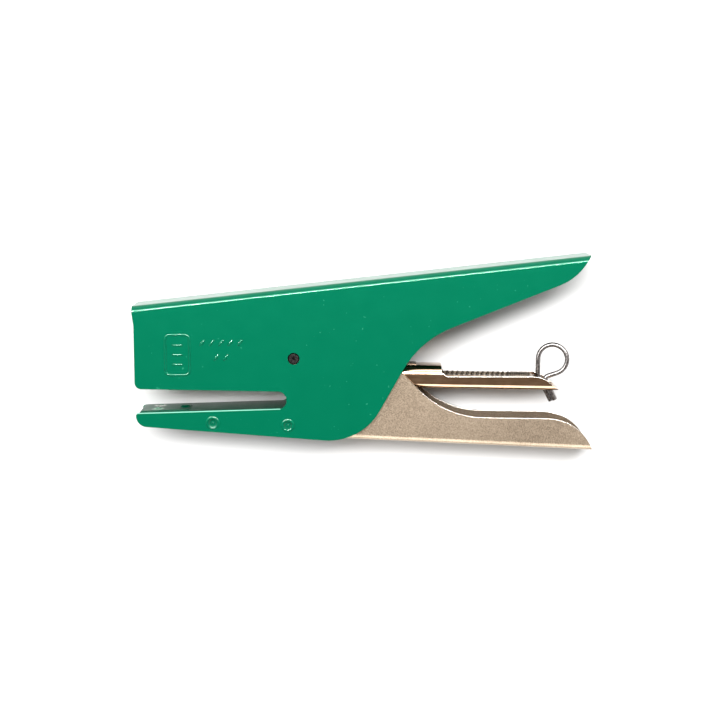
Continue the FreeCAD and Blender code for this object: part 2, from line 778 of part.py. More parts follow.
def wall_rivets(name, places):
    """Rivets at places of the mid plane, one through each wall of the lower handle."""
    rivets = []
    for side, wall in ((1, "near"), (-1, "far")):
        for number, place in enumerate(places, start=1):
            rivet = make_body(f"{name}_{wall}_{number}")
            turned(rivet, "profile", flush_rivet_corners(
                "dims.driver_rivet", "dims.rivet_head", "dims.rivet_dome", "0",
                "dims.lever_sheet + dims.bridge_sheet"))
            outside = place + Vector(0, 0, side * value("dims.lever_width / 2"))
            rivets.append(place_on_axis(rivet, outside, Z_AXIS * -side))
    return group(f"{name}s", rivets)


def build_crosspiece():
    """Bracket between the lower handle's walls that carries the return spring."""
    point, down = spring_frame(value("dims.spring_length"))
    body = place(make_body("spring_crosspiece"), point, Rotation(Z_AXIS, value("dims.top_angle")))
    outer = rectangle_corners("-dims.crosspiece_length / 2", "dims.crosspiece_length / 2",
                              "-dims.crosspiece_flange", "0")
    pad(body, polygon_sketch(body, "outline", outer), LEVER_INNER)
    inner = rectangle_corners("-dims.crosspiece_length", "dims.crosspiece_length",
                              "-2 * dims.crosspiece_flange", "-dims.bridge_sheet")
    pocket(body, polygon_sketch(body, "hollow", inner), f"{LEVER_INNER} - 2 * dims.bridge_sheet")
    holes = [(f"{side} * dims.crosspiece_rivet_run", "-dims.crosspiece_rivet_drop", "dims.driver_rivet")
             for side in (-1, 1)]
    pocket(body, circle_sketch(body, "rivet_holes", holes), "dims.lever_width + 2")
    return body


# ---------------------------------------------------------------------------------------------
# Magazine
# ---------------------------------------------------------------------------------------------
MAGAZINE_INNER = "(dims.magazine_width - 2 * dims.magazine_sheet)"
FLOOR_TOP = "(dims.magazine_floor + dims.magazine_sheet)"
RAIL_FLOOR_TOP = f"({FLOOR_TOP} + dims.rail_sheet)"
MAGAZINE_LENGTH = "(dims.magazine_rear - dims.magazine_front)"
FLOOR_CORNER = "(dims.floor_round - dims.magazine_sheet)"


def tunnel_corners(width, low, high, low_round, high_round):
    """Cross-section with rounded edges, in the plane across the magazine."""
    return [(low, f"-{width} / 2", low_round), (high, f"-{width} / 2", high_round),
            (high, f"{width} / 2", high_round), (low, f"{width} / 2", low_round)]


def build_magazine():
    """Pressed channel: a rounded tunnel in front, an open trough at the rear, ears up to the pin."""
    body = magazine_body("magazine_channel")
    outer = tunnel_corners("dims.magazine_width", "dims.magazine_floor", "dims.magazine_top",
                           "dims.floor_round", "dims.arch_round")
    pad(body, polygon_sketch(body, "outside", outer, "YZ_Plane", "dims.magazine_front"), MAGAZINE_LENGTH,
        midplane=False)
    inner = tunnel_corners(MAGAZINE_INNER, FLOOR_TOP, "dims.magazine_top - dims.magazine_sheet",
                           FLOOR_CORNER, "dims.arch_round - dims.magazine_sheet")
    pocket(body, polygon_sketch(body, "inside", inner, "YZ_Plane"), f"3 * {MAGAZINE_LENGTH}")
    pocket(body, polygon_sketch(body, "rear_trim", outline_corners("trim")), "2 * dims.magazine_width")
    mouth = rectangle_corners("dims.magazine_front - dims.mouth_length",
                              "dims.magazine_front + dims.mouth_length",
                              f"{FLOOR_TOP} + dims.nose_height", "-dims.magazine_floor")
    pocket(body, polygon_sketch(body, "driver_mouth", mouth), "2 * dims.magazine_width")
    ears = polygon_sketch(body, "ears", outline_corners("ear"))
    pad(body, ears, "dims.magazine_width")
    between = rectangle_corners("-dims.ear_hole_cut", "dims.ear_hole_cut", RAIL_FLOOR_TOP,
                                "-dims.magazine_floor")
    pocket(body, polygon_sketch(body, "between_ears", between), MAGAZINE_INNER)
    pocket(body, circle_sketch(body, "pivot", [("0", "0", "dims.running_hole")]), "2 * dims.magazine_width")
    half_slot = f"({MAGAZINE_INNER} / 2 - dims.slot_edge)"
    slot = rectangle_corners("dims.magazine_front + dims.magazine_sheet", "dims.slot_rear",
                             f"-{half_slot}", half_slot)
    floor_cut(body, "staple_slot", slot)
    legs = rectangle_corners("dims.leg_hole_start", "dims.leg_hole_end", "-dims.leg_hole_wide / 2",
                             "dims.leg_hole_wide / 2")
    floor_cut(body, "leg_hole", legs)
    rivets = [(x, "0", "dims.rail_rivet") for x in ("dims.rail_rivet_front", "dims.rail_rivet_rear")]
    sketch = circle_sketch(body, "rivet_holes", rivets, "XZ_Plane", "-dims.magazine_floor")
    pocket(body, sketch, "4 * dims.magazine_sheet")
    leaf = circle_sketch(body, "leaf_hole", [("dims.leaf_rivet_x", "0", "dims.rail_rivet")], "XZ_Plane",
                         "-dims.magazine_top")
    pocket(body, leaf, "4 * dims.magazine_sheet")
    return body


def floor_cut(body, name, corners):
    """Cut an opening through the magazine's floor."""
    sketch = polygon_sketch(body, name, corners, "XZ_Plane", "-dims.magazine_floor")
    pocket(body, sketch, "4 * dims.magazine_sheet")


def build_rail():
    """Channel inside the magazine; the staples straddle it and the pusher runs in it."""
    body = magazine_body("staple_rail")
    length = "(dims.rail_rear - dims.slot_rear)"
    top = f"{FLOOR_TOP} + dims.rail_height"
    outer = tunnel_corners("dims.rail_width", FLOOR_TOP, top, "dims.rail_round", None)
    pad(body, polygon_sketch(body, "outside", outer, "YZ_Plane", "dims.slot_rear"), length, midplane=False)
    inside_width = "(dims.rail_width - 2 * dims.rail_sheet)"
    inner = tunnel_corners(inside_width, RAIL_FLOOR_TOP, f"{top} + 1", None, None)
    pocket(body, polygon_sketch(body, "inside", inner, "YZ_Plane"), f"3 * {length}")
    rivets = [(x, "0", "dims.rail_rivet") for x in ("dims.rail_rivet_front", "dims.rail_rivet_rear")]
    sketch = circle_sketch(body, "rivet_holes", rivets, "XZ_Plane", f"-{FLOOR_TOP}")
    pocket(body, sketch, "4 * dims.rail_sheet")
    return body


def build_rail_rivets():
    """Rivets that hold the rail down, flush inside so that the pusher passes."""
    rivets = []
    for name in ("front", "rear"):
        rivet = make_body(f"rail_rivet_{name}")
        profile = flush_rivet_corners("dims.rail_rivet", "dims.rail_rivet_head", "dims.rail_rivet_dome",
                                      "0", "dims.magazine_sheet + dims.rail_sheet")
        turned(rivet, "profile", profile)
        rivets.append(place_in_magazine(rivet, (f"dims.rail_rivet_{name}", RAIL_FLOOR_TOP), (0, -1)))
    return group("rail_rivets", rivets)


def build_leaf_rivet():
    """Rivet that holds the leaf spring's foot on top of the magazine."""
    body = make_body("leaf_rivet")
    turned(body, "profile", rivet_corners("dims.rail_rivet", "dims.rail_rivet_head", "dims.rail_rivet_dome",
                                          "-dims.magazine_sheet", "dims.leaf_sheet"))
    return place_in_magazine(body, ("dims.leaf_rivet_x", "dims.magazine_top"), (0, 1))


def place_in_magazine(body, point, direction):
    """Put a turned body at a point of the magazine's frame, with its Z axis along a direction there."""
    turn = Rotation(Z_AXIS, value("dims.magazine_tilt"))
    pivot = Vector(value("dims.pivot_x"), value("dims.pivot_y"), 0)
    spot = pivot + turn.multVec(Vector(value(point[0]), value(point[1]), 0))
    return place_on_axis(body, spot, turn.multVec(Vector(direction[0], direction[1], 0)))


def build_nose_plate():
    """Plate that closes the front of the magazine ahead of the driver."""
    body = magazine_body("nose_plate")
    high = "dims.magazine_top - dims.arch_round"
    section = tunnel_corners(MAGAZINE_INNER, FLOOR_TOP, high, FLOOR_CORNER, None)
    sketch = polygon_sketch(body, "outline", section, "YZ_Plane", "dims.magazine_front")
    pad(body, sketch, "dims.magazine_sheet", midplane=False)
    return body


def build_end_plate():
    """Plate across the magazine that the pusher spring bears on, with a hole for the rod."""
    body = magazine_body("end_plate")
    section = tunnel_corners(MAGAZINE_INNER, FLOOR_TOP, "dims.end_plate_high", FLOOR_CORNER, None)
    sketch = polygon_sketch(body, "outline", section, "YZ_Plane", "dims.rail_rear")
    pad(body, sketch, "dims.end_plate_thick", midplane=False)
    rod = [("dims.rod_height", "0", "dims.rod_radius")]
    hole = circle_sketch(body, "rod_hole", rod, "YZ_Plane", "dims.rail_rear")
    pocket(body, hole, "4 * dims.end_plate_thick")
    return body


def build_guide_rod():
    """Rod through the pusher and its spring, headed behind the end plate."""
    body = magazine_body("guide_rod")
    end = "(dims.rail_rear + dims.end_plate_thick)"
    length = f"({end} - dims.rod_front)"
    profile = [("0", "0", None), ("dims.rod_radius", "0", None), ("dims.rod_radius", length, None),
               ("dims.rod_head", length, None), ("dims.rod_head", f"{length} + dims.rod_head_thick", None),
               ("0", f"{length} + dims.rod_head_thick", None)]
    turned(body, "profile", profile)
    return place_in_magazine(body, ("dims.rod_front", "dims.rod_height"), (1, 0))


def build_pivot_bush():
    """Tube on the pin that keeps the magazine's ears apart."""
    body = make_body("pivot_bush", ("dims.pivot_x", "dims.pivot_y", MIDDLE))
    end = f"{MAGAZINE_INNER} / 2"
    turned(body, "profile", ring_corners("dims.running_hole", "dims.bush_radius", f"-{end}", end))
    return body


def build_leaf_spring():
    """Bent strip that pushes the magazine and the lower handle apart."""
    body = magazine_body("magazine_leaf_spring")
    pad(body, polygon_sketch(body, "outline", outline_corners("leaf")), "dims.leaf_width")
    hole = circle_sketch(body, "hole", [("dims.leaf_rivet_x", "0", "dims.rail_rivet")], "XZ_Plane",
                         "-dims.magazine_top")
    pocket(body, hole, "4 * dims.leaf_sheet")
    return body


# ---------------------------------------------------------------------------------------------
# Pusher, its spring, and the ring clip
# ---------------------------------------------------------------------------------------------
def build_pusher():
    """Block that slides in the rail; its wings push on the crowns of the staples."""
    body = magazine_body("staple_pusher")
    wing_low = "dims.pusher_high - dims.pusher_wing"
    width = "dims.pusher_width / 2"
    wing = "dims.pusher_wing_width / 2"
    section = [("dims.pusher_low", f"-{width}", "dims.pusher_round"), (wing_low, f"-{width}", None),
               (wing_low, f"-{wing}", None), ("dims.pusher_high", f"-{wing}", None),
               ("dims.pusher_high", wing, None), (wing_low, wing, None),
               (wing_low, width, None), ("dims.pusher_low", width, "dims.pusher_round")]
    sketch = polygon_sketch(body, "section", section, "YZ_Plane", "dims.pusher_front")
    pad(body, sketch, "dims.pusher_length", midplane=False)
    rod = [("dims.rod_height", "0", "dims.pusher_bore")]
    bore = circle_sketch(body, "bore", rod, "YZ_Plane", "dims.pusher_front")
    pocket(body, bore, "4 * dims.pusher_length")
    return body


def build_pusher_spring():
    """Closed tube with the outer and inner size of the pusher's long coil spring."""
    body = magazine_body("pusher_spring")
    length = "(dims.rail_rear - dims.pusher_front - dims.pusher_length)"
    turned(body, "profile", ring_corners("dims.coil_inner", "dims.coil_outer", "0", length))
    return place_in_magazine(body, ("dims.pusher_front + dims.pusher_length", "dims.rod_height"), (1, 0))


def wire_tube(edges):
    """Round wire along joined edges."""
    path = Part.Wire(edges)
    start = edges[0].valueAt(edges[0].FirstParameter)
    tangent = edges[0].tangentAt(edges[0].FirstParameter)
    section = Part.Wire([Part.makeCircle(value("dims.wire_radius"), start, tangent)])
    return path.makePipeShell([section], True, True)


def rounded_path(points, radius):
    """Edges of a path through three points whose middle corner is an arc."""
    start, corner, end = points
    back = (start - corner).normalize()
    ahead = (end - corner).normalize()
    half_angle = back.getAngle(ahead) / 2
    reach = radius / math.tan(half_angle)
    middle = corner + (back + ahead).normalize() * (radius / math.sin(half_angle) - radius)
    first = corner + back * reach
    last = corner + ahead * reach
    return [Part.LineSegment(start, first).toShape(), Part.Arc(first, middle, last).toShape(),
            Part.LineSegment(last, end).toShape()]


def build_ring_clip():
    """Bent wire: an open ring to pull on, and two legs side by side through the magazine's floor."""
    centre = Vector(value("dims.ring_x"), value("dims.ring_y"), value(MIDDLE))
    radius = value("dims.ring_radius")
    spread = Z_AXIS * value("dims.leg_spread")
    leg = Rotation(Z_AXIS, value("dims.leg_angle")).multVec(X_AXIS)
    outward = Rotation(Z_AXIS, value("dims.ring_end_angle")).multVec(X_AXIS)
    start = centre - X_AXIS * radius - spread
    top = centre + Y_AXIS * radius
    finish = centre + outward * radius + spread
    front_bend = start - Y_AXIS * value("dims.clip_drop")
    rear_bend = finish + outward.cross(Z_AXIS) * value("dims.clip_run_in")
    front_end = front_bend + leg * value("dims.leg_front")
    rear_end = rear_bend + leg * value("dims.leg_rear")
    parts = [
        wire_tube([Part.Arc(start, top, finish).toShape()]),
        wire_tube(rounded_path((start, front_bend, front_end), value("dims.clip_drop_bend"))),
        wire_tube(rounded_path((finish, rear_bend, rear_end), value("dims.clip_run_in_bend"))),
    ]
    joints = [Part.makeSphere(value("dims.wire_radius"), point) for point in (start, finish)]
    clip = doc.addObject("Part::Feature", "ring_clip")
    clip.Label = "ring_clip"
    clip.Shape = parts[0].multiFuse(parts[1:] + joints)
    return clip


# ---------------------------------------------------------------------------------------------
# The whole stapler
# ---------------------------------------------------------------------------------------------
def build_all():
    return [
        build_shell(), build_anvil_bar(), build_anvil_plate(), build_anvil_rivet(), build_pivot_pin(),
        build_pivot_washers(), build_spring_cup(), build_return_spring(), build_rest_stop(),
        build_lever(), build_driver_bridge(), build_driver_blade(), build_driver_rivets(),
        build_bridge_rivets(), build_crosspiece(), build_crosspiece_rivets(),
        build_magazine(), build_rail(), build_rail_rivets(), build_nose_plate(), build_end_plate(),
        build_guide_rod(), build_pivot_bush(), build_leaf_spring(), build_leaf_rivet(),
        build_pusher(), build_pusher_spring(), build_ring_clip(),
    ]


def check(nodes):
    """Stop if anything in the document failed or a sub-part has no sound shape."""
    for item in doc.Objects:
        if {"Invalid", "Error"} & set(item.State):
            raise RuntimeError(f"{item.Name} failed: {item.State}")
    for node in nodes:
        if node.Shape.isNull() or not node.Shape.isValid() or not node.Shape.Solids:
            raise RuntimeError(f"{node.Label} has no sound shape")


fill_sheet()
nodes = build_all()
doc.recompute()
check(nodes)
os.makedirs("parts", exist_ok=True)
for node in nodes:
    node.Shape.exportStep(f"parts/{node.Label}.step")
    print(node.Label, len(node.Shape.Solids), round(node.Shape.Volume, 1))
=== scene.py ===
import json
import math

import bpy
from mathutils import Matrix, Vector

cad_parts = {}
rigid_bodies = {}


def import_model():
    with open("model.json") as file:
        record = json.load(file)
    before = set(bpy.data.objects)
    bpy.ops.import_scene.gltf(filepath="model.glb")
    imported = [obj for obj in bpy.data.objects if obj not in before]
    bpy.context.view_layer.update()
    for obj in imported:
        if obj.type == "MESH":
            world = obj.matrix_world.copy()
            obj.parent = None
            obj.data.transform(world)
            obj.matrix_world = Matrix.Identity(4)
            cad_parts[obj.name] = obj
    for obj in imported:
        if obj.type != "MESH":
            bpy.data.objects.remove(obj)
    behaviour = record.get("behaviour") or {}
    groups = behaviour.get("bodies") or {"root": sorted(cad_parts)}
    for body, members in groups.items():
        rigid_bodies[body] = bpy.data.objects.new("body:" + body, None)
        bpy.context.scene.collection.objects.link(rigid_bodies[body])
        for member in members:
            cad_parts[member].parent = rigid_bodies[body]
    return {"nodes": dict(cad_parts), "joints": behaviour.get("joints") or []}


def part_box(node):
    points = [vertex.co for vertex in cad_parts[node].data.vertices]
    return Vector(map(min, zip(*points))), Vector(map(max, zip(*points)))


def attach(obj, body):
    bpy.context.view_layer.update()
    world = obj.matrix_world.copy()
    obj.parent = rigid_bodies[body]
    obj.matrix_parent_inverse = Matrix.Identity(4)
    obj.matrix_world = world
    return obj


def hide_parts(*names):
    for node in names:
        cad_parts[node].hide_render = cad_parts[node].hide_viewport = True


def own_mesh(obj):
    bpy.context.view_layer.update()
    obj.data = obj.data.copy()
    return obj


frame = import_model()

# Looks of a plier stapler that lies on its side: +X to the handle ends, +Y to the upper handle,
# +Z up. Lengths are in metres unless a comment says mm. Places come from the CAD nodes' boxes and
# from the joints. Small marks on the near cheek are placed in mm from the pivot.

MM = 0.001
NODES = frame["nodes"]
JOINTS = {joint["name"]: joint for joint in frame["joints"]}
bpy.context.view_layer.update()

PIVOT = Vector(JOINTS["lever_hinge"]["pos_m"])
MAGAZINE_AXIS = Vector(JOINTS["pusher_slide"]["axis"]).normalized()
NEAR_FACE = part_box("shell")[1].z
SPINE_ANGLE = math.radians(6.32)
SCENE = bpy.context.scene

# Enamel: pairs of sRGB shades that the colour drifts between, and the clear coat's weight
GREEN = ((0, 74, 51), (0, 76, 53))
# Painted shade: the anvil pieces get this darker copy of the body's green, for the shade in the
# throat
SHADED_GREEN = ((0, 48, 32), (0, 52, 35))
# Painted highlight: pale mint for the thin bead along the jaw's near edge
EDGE_HIGHLIGHT_GREEN = ((96, 158, 138), (120, 178, 158))
FULL_COAT, THIN_COAT, EDGE_COAT = 0.26, 0.06, 0.4
SPECK_COLOUR = (60, 150, 120)
WORN_COLOUR = (206, 206, 200)

# Wear of the anvil plate round its two pockets
POCKET_ALONG, POCKET_ASIDE = 5.6 * MM, 3.3 * MM
WEAR_RADIUS, WEAR_FADE = 1.4 * MM, 1.2 * MM

# Metals: sRGB colours of the grain, ranges of roughness, and the scale and height of the grain
# Painted shade: satin nickel darkens towards this colour near the floor, where its far side lies in
# shade
FLOOR_SIDE_SHADE = (52, 42, 32)
METALS = {
    "satin_nickel": dict(dark=(108, 94, 77), light=(192, 175, 154), roughness=(0.3, 0.42),
                         grain=2900, bump=0.3, shade_below=12 * MM),
    "magazine_nickel": dict(dark=(176, 146, 118), light=(204, 176, 148), roughness=(0.1, 0.16),
                            grain=700, bump=0.12, stretch=(0.25, 1, 1)),
    "rubbed_edge": dict(dark=(214, 206, 198), light=(248, 244, 238), roughness=(0.12, 0.24),
                        grain=1600, bump=0.06),
    "bright_wire": dict(dark=(104, 101, 100), light=(142, 138, 136), roughness=(0.2, 0.32),
                        grain=1500, bump=0.08),
    "spring_steel": dict(dark=(104, 94, 84), light=(160, 148, 134), roughness=(0.2, 0.36),
                         grain=2400, bump=0.15),
    "dark_pin": dict(dark=(15, 14, 14), light=(58, 54, 54), roughness=(0.35, 0.6),
                     grain=1800, bump=0.5),
    "fibre_pad": dict(dark=(52, 46, 42), light=(74, 68, 62), roughness=(0.8, 0.95),
                      grain=2200, bump=0.6),
}

# The anvil pieces take a darker copy of the body's enamel, a painted shade of the throat
NODE_MATERIALS = {
    "shell": "enamel", "anvil_bar": "anvil_shaded_enamel", "anvil_plate": "worn_shaded_enamel",
    "anvil_rivet": "anvil_shaded_enamel", "pivot_pin": "dark_pin", "pivot_washers": "spring_steel",
    "spring_cup": "satin_nickel", "return_spring": "spring_steel", "rest_stop": "fibre_pad",
    "lever_handle": "satin_nickel", "driver_bridge": "satin_nickel", "driver_blade": "spring_steel",
    "driver_rivets": "bright_wire", "bridge_rivets": "bright_wire",
    "spring_crosspiece": "satin_nickel", "crosspiece_rivets": "bright_wire",
    "magazine_channel": "magazine_nickel", "staple_rail": "satin_nickel",
    "rail_rivets": "bright_wire", "nose_plate": "magazine_nickel", "end_plate": "satin_nickel",
    "guide_rod": "bright_wire", "pivot_bush": "satin_nickel",
    "magazine_leaf_spring": "spring_steel", "leaf_rivet": "bright_wire",
    "staple_pusher": "bright_wire", "ring_clip": "bright_wire",
}

# Bare sheets whose edges are broken and rubbed bright
RUBBED_NODES = ("lever_handle", "magazine_channel")
EDGE_BREAK = 0.12 * MM
SHADE_ANGLE = math.radians(28)
BREAK_ANGLE = math.radians(32)

# How far the added marks reach below the near cheek's face
MARK_SINK = 0.1 * MM

# Pressed pattern, in mm from the pivot: box, heights of the bars, rows of slanting dashes
MOTIF_BOX = dict(left=-43.6, low=-5.6, right=-35.4, high=8.2, corner=1.6)
MOTIF_BAR_ENDS = (-41.4, -37.6)
MOTIF_BAR_HEIGHTS = (4.6, 1.3, -2.0)
MOTIF_ROWS = (("dash", 5, -31.8, 4.4, 6.6), ("low_dash", 2, -27.0, -0.6, 1.6))
DASH_STEP, DASH_RUN = 3.2, 1.7

# Jaw: the ends of the paint bead that carries the near edge's painted highlight, and the dimples'
# centres, in mm from the pivot
BEAD_ENDS = ((-53.6, -18.9), (-4.6, -17.37))
BEAD_RADIUS = 0.2 * MM
DIMPLES = ((-27.8, -22.2), (-2.1, -23.1))
DIMPLE_DEPTH = 0.55 * MM
DIMPLE_RIM_RADIUS = 1.85
WELD_RADIUS, WELD_RISE = 0.42 * MM, 0.26 * MM

# Stage: floor, world strength by height of the direction, and camera
FLOOR_REACH = 4.0
FLOOR_DROP = 0.02 * MM
FLOOR_WHITE = (0.58, 0.58, 0.58, 1)
TENT_COLOUR = (1.0, 0.985, 0.965, 1)
TENT_FADE = {"From Min": 0.3, "From Max": 0.92, "To Min": 1.6, "To Max": 0.06}
CAMERA_DISTANCE = 0.52
CAMERA_LEAN = math.radians(8.0)
VIEW_HALF_WIDTH = 0.1224


# ---------------------------------------------------------------------------------------------
# Material building blocks
# ---------------------------------------------------------------------------------------------
def srgb(red, green, blue):
    """Linear colour from sRGB values of 0 to 255."""
    def linear(part):
        part /= 255
        return part / 12.92 if part <= 0.04045 else ((part + 0.055) / 1.055) ** 2.4
    return (linear(red), linear(green), linear(blue), 1.0)


class Shader:
    """A node material around one Principled shader."""

    def __init__(self, name):
        self.material = bpy.data.materials.new(name)
        self.material.use_nodes = True
        self.tree = self.material.node_tree
        self.principled = self.tree.nodes["Principled BSDF"]

    def node(self, kind, **settings):
        made = self.tree.nodes.new(f"ShaderNode{kind}")
        for key, setting in settings.items():
            setattr(made, key, setting)
        return made

    def link(self, output, target):
        self.tree.links.new(output, target)

    def feed(self, source, target):
        """Link a socket, or set a plain value."""
        if isinstance(source, bpy.types.NodeSocket):
            self.link(source, target)
        else:
            target.default_value = source

    def set(self, **values):
        for key, setting in values.items():
            self.principled.inputs[key.replace("_", " ")].default_value = setting

    def drive(self, key, output):
        self.link(output, self.principled.inputs[key])

    def coordinates(self, stretch=(1, 1, 1)):
        place = self.node("TexCoord")
        mapping = self.node("Mapping")
        mapping.inputs["Scale"].default_value = stretch
        self.link(place.outputs["Object"], mapping.inputs["Vector"])
        return mapping.outputs["Vector"]

    def noise(self, scale, detail, roughness=0.5, stretch=(1, 1, 1)):
        """Noise of about 1/scale metres, from 0 to 1."""
        texture = self.node("TexNoise")
        texture.inputs["Scale"].default_value = scale
        texture.inputs["Detail"].default_value = detail
        texture.inputs["Roughness"].default_value = roughness
        self.link(self.coordinates(stretch), texture.inputs["Vector"])
        return texture.outputs["Fac"]

    def spread(self, value, low_in, high_in, low_out, high_out):
        """Map a value from one range to another, clamped."""
        mapping = self.node("MapRange")
        for key, number in (("From Min", low_in), ("From Max", high_in),
                            ("To Min", low_out), ("To Max", high_out)):
            mapping.inputs[key].default_value = number
        self.link(value, mapping.inputs["Value"])
        return mapping.outputs["Result"]

    def blend(self, factor, first, second):
        """Mix two colours; each is a colour or a socket."""
        mix = self.node("Mix", data_type="RGBA")
        for key, source in (("Factor", factor), ("A", first), ("B", second)):
            self.feed(source, mix.inputs[key])
        return mix.outputs["Result"]

    def math(self, operation, first, second):
        made = self.node("Math", operation=operation)
        self.feed(first, made.inputs[0])
        self.feed(second, made.inputs[1])
        return made.outputs[0]

    def bump(self, height, strength, distance):
        """Add a height on top of any bump the shader already has."""
        made = self.node("Bump")
        made.inputs["Strength"].default_value = strength
        made.inputs["Distance"].default_value = distance
        self.link(height, made.inputs["Height"])
        normal = self.principled.inputs["Normal"]
        if normal.is_linked:
            self.link(normal.links[0].from_socket, made.inputs["Normal"])
        self.link(made.outputs["Normal"], normal)

    def near(self, point, radius, softness):
        """1 near a point of the row frame, falling to 0 over the softness."""
        place = self.node("TexCoord")
        away = self.node("VectorMath", operation="DISTANCE")
        away.inputs[1].default_value = point
        self.link(place.outputs["Object"], away.inputs[0])
        return self.spread(away.outputs["Value"], radius, radius + softness, 1.0, 0.0)


# ---------------------------------------------------------------------------------------------
# Materials
# ---------------------------------------------------------------------------------------------
def enamel(name, shades, coat, worn=()):
    """Glossy stove enamel with orange peel and dust specks, worn to the steel at some points."""
    shader = Shader(name)
    green = shader.blend(shader.noise(60, detail=1), srgb(*shades[0]), srgb(*shades[1]))
    specks = shader.noise(900, detail=1)
    speck = shader.spread(specks, 0.76, 0.81, 0, 0.3)
    colour = shader.blend(speck, green, srgb(*SPECK_COLOUR))
    scuff = shader.noise(1500, detail=3)
    for point in worn:
        bare = shader.math("MULTIPLY", shader.near(point, WEAR_RADIUS, WEAR_FADE),
                           shader.spread(scuff, 0.3, 0.62, 0, 0.9))
        colour = shader.blend(bare, colour, srgb(*WORN_COLOUR))
        shader.drive("Metallic", bare)
    shader.drive("Base Color", colour)
    shader.drive("Roughness", shader.spread(shader.noise(160, detail=4), 0.3, 0.7, 0.28, 0.32))
    shader.set(Specular_Tint=(0.06, 1.0, 0.55, 1), Specular_IOR_Level=0.12)
    shader.set(Coat_Weight=coat, Coat_Roughness=0.03, Coat_IOR=1.5)
    shader.bump(shader.noise(420, detail=2), 0.05, 0.1 * MM)
    shader.bump(specks, 0.08, 0.1 * MM)
    return shader.material


def plain_metal(name, dark, light, roughness, grain, bump, stretch=(1, 1, 1), shade_below=0.0):
    """Bare or plated metal with a fine grain in colour, gloss and surface, and where asked a painted
    shade that darkens it towards the floor.
    """
    shader = Shader(name)
    fine = shader.noise(grain, 3, 0.6, stretch)
    slow = shader.noise(40, detail=3)
    fine_mix = shader.spread(fine, 0.32, 0.68, 0, 0.7)
    slow_mix = shader.spread(slow, 0.3, 0.7, 0, 0.3)
    colour = shader.blend(shader.math("ADD", fine_mix, slow_mix), srgb(*dark), srgb(*light))
    # Painted shade: darker towards the floor, reaching half of the shade colour at the bottom
    if shade_below:
        place = shader.node("SeparateXYZ")
        shader.link(shader.coordinates(), place.inputs["Vector"])
        depth = shader.spread(place.outputs["Z"], 0.0, shade_below, 0.5, 0.0)
        colour = shader.blend(depth, colour, srgb(*FLOOR_SIDE_SHADE))
    shader.drive("Base Color", colour)
    shader.drive("Roughness", shader.spread(fine, 0.3, 0.7, *roughness))
    shader.set(Metallic=1.0)
    shader.bump(fine, bump, 0.08 * MM)
    return shader.material


def build_materials():
    low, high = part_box("anvil_plate")
    middle = (low.z + high.z) / 2
    pockets = [(low.x + POCKET_ALONG, low.y, middle + side * POCKET_ASIDE) for side in (-1, 1)]
    # The anvil's enamels are darker copies of the body's green as painted shade of the throat, the
    # worn one also bared at its pockets; the edge enamel is pale as a painted highlight
    made = {
        "enamel": enamel("green_enamel", GREEN, FULL_COAT),
        "anvil_shaded_enamel": enamel("anvil_shaded_enamel", SHADED_GREEN, THIN_COAT),
        "worn_shaded_enamel": enamel("worn_shaded_enamel", SHADED_GREEN, THIN_COAT, pockets),
        "edge_highlight_enamel": enamel("edge_highlight_enamel", EDGE_HIGHLIGHT_GREEN, EDGE_COAT),
    }
    for name, look in METALS.items():
        made[name] = plain_metal(name, **look)
    return made


def sharp_edge_nodes():
    """Node group that joins a mesh's face patches and shades it smooth but for its sharp edges."""
    group = bpy.data.node_groups.new("joined_patches", "GeometryNodeTree")
    for in_out in ("INPUT", "OUTPUT"):
        group.interface.new_socket("Geometry", in_out=in_out, socket_type="NodeSocketGeometry")
    source = group.nodes.new("NodeGroupInput")
    result = group.nodes.new("NodeGroupOutput")
    join = group.nodes.new("GeometryNodeMergeByDistance")
    join.inputs["Distance"].default_value = 0.001 * MM
    angle = group.nodes.new("GeometryNodeInputMeshEdgeAngle")
    sharp = group.nodes.new("FunctionNodeCompare")
    sharp.operation = "GREATER_THAN"
    sharp.inputs["B"].default_value = SHADE_ANGLE
    shade = group.nodes.new("GeometryNodeSetMeshNormal")
    shade.mode = "SHARPNESS"
    shade.inputs["Remove Custom"].default_value = True
    shade.inputs["Face Sharpness"].default_value = False
    group.links.new(source.outputs[0], join.inputs["Geometry"])
    group.links.new(join.outputs["Geometry"], shade.inputs["Mesh"])
    group.links.new(angle.outputs["Unsigned Angle"], sharp.inputs["A"])
    group.links.new(sharp.outputs["Result"], shade.inputs["Edge Sharpness"])
    group.links.new(shade.outputs["Mesh"], result.inputs[0])
    return group


def dress_cad_nodes(materials):
    """Give each CAD node its finish; the bare sheets also get rubbed, broken edges."""
    joined = sharp_edge_nodes()
    for name, key in NODE_MATERIALS.items():
        node = NODES[name]
        node.data.materials.clear()
        node.data.materials.append(materials[key])
        if name in RUBBED_NODES:
            node.data.materials.append(materials["rubbed_edge"])
            node.modifiers.new("joined", "NODES").node_group = joined
            edge = node.modifiers.new("broken_edge", "BEVEL")
            edge.width = EDGE_BREAK
            edge.segments = 2
            edge.material = 1
            edge.limit_method = "ANGLE"
            edge.angle_limit = BREAK_ANGLE
            edge.use_clamp_overlap = False
            edge.harden_normals = True
            edge.loop_slide = False


# ---------------------------------------------------------------------------------------------
# Pieces
# ---------------------------------------------------------------------------------------------
def add_mesh(name, vertices, faces, material, body):
    mesh = bpy.data.meshes.new(name)
    mesh.from_pydata([tuple(vertex) for vertex in vertices], [], faces)
    mesh.materials.append(material)
    piece = bpy.data.objects.new(name, mesh)
    SCENE.collection.objects.link(piece)
    mesh.shade_smooth()
    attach(piece, body)
    return piece


